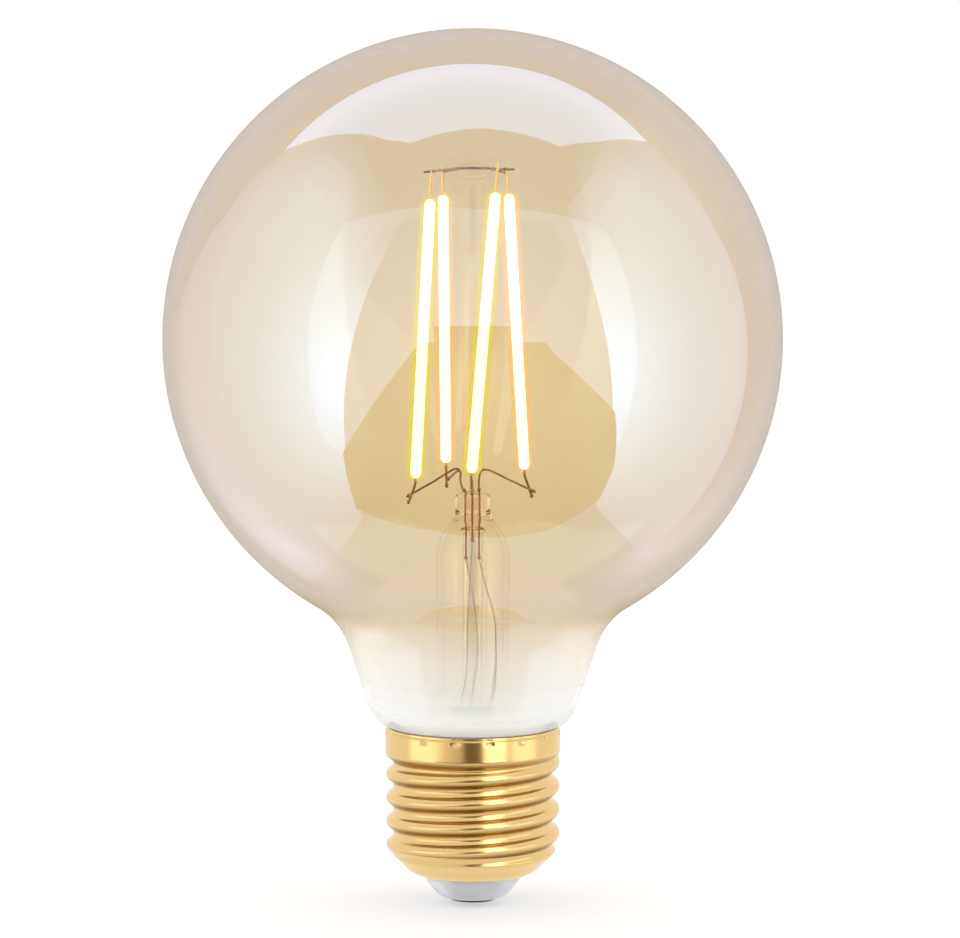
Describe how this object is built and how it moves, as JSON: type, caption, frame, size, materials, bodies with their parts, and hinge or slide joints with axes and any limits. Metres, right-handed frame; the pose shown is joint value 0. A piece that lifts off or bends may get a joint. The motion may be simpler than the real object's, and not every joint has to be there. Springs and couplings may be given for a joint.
{
  "type": "smart light bulb",
  "caption": "Tinted glass globe lamp with a twisted cage of LED filaments on a glass stem, and a gold-coloured screw cap that holds its driver.",
  "frame": {"origin": "middle of the centre contact's flat underside, on the lamp's axis", "axes": "+Z along the lamp's axis from the cap up to the globe's top; the front of the lamp faces -Y; +X is to the right seen from the front"},
  "size_m": [0.0934, 0.0934, 0.1322],
  "materials": {
    "globe_glass": "clear, thin gold tint, glossy",
    "neck_coat": "matt white coat inside the neck, fading out upwards",
    "stem_glass": "clear, glossy",
    "cool_phosphor": "lit silicone coat, cool channel",
    "warm_phosphor": "lit silicone coat, warm channel",
    "filament_strip": "fired ceramic strip",
    "nickel_wire": "drawn nickel-plated iron wire",
    "copper_clad_wire": "borated copper-clad wire",
    "tinned_wire": "tinned copper wire",
    "gold_plated_shell": "bright gold-coloured plating on rolled metal",
    "insulator": "satin light grey moulding",
    "contact_metal": "dull tinned face",
    "cement": "cured resin cement, matt",
    "sleeve_plastic": "moulded insulating sleeve",
    "circuit_board": "solder-masked glass epoxy",
    "radio_board": "solder-masked glass epoxy",
    "shield_can": "stamped tinned steel",
    "capacitor_sleeve": "shrunk vinyl sleeve",
    "choke_winding": "enamelled copper winding on ferrite",
    "resistor_coat": "flameproof coat",
    "chip_epoxy": "moulded epoxy"
  },
  "bodies": {
    "root": {"globe_envelope": "globe_glass", "stem_flare": "stem_glass", "exhaust_tube": "stem_glass", "stem_press": "stem_glass", "arbor_rod": "stem_glass", "arbor_bead": "stem_glass", "cool_filament_front_left_phosphor": "cool_phosphor", "cool_filament_front_left_strip": "filament_strip", "cool_filament_front_left_head_pin": "nickel_wire", "cool_filament_front_left_foot_pin": "nickel_wire", "warm_filament_back_left_phosphor": "warm_phosphor", "warm_filament_back_left_strip": "filament_strip", "warm_filament_back_left_head_pin": "nickel_wire", "warm_filament_back_left_foot_pin": "nickel_wire", "cool_filament_front_right_phosphor": "cool_phosphor", "cool_filament_front_right_strip": "filament_strip", "cool_filament_front_right_head_pin": "nickel_wire", "cool_filament_front_right_foot_pin": "nickel_wire", "warm_filament_back_right_phosphor": "warm_phosphor", "warm_filament_back_right_strip": "filament_strip", "warm_filament_back_right_head_pin": "nickel_wire", "warm_filament_back_right_foot_pin": "nickel_wire", "cool_cross_wire": "nickel_wire", "warm_cross_wire": "nickel_wire", "common_inner_lead": "nickel_wire", "cool_inner_lead": "nickel_wire", "warm_inner_lead": "nickel_wire", "common_lead_branch": "nickel_wire", "common_seal_wire": "copper_clad_wire", "cool_seal_wire": "copper_clad_wire", "warm_seal_wire": "copper_clad_wire", "antenna_wire": "copper_clad_wire", "common_outer_lead": "tinned_wire", "cool_outer_lead": "tinned_wire", "warm_outer_lead": "tinned_wire", "contact_lead_wire": "tinned_wire", "shell_lead_wire": "tinned_wire", "e27_shell": "gold_plated_shell", "cap_insulator": "insulator", "centre_contact": "contact_metal", "basing_cement": "cement", "driver_sleeve": "sleeve_plastic", "driver_board": "circuit_board", "radio_module": "radio_board", "radio_shield_can": "shield_can", "bulk_capacitor": "capacitor_sleeve", "filter_choke": "choke_winding", "fusible_resistor": "resistor_coat", "bridge_rectifier": "chip_epoxy", "driver_chip": "chip_epoxy", "cool_channel_transistor": "chip_epoxy", "warm_channel_transistor": "chip_epoxy"}
  },
  "joints": []
}
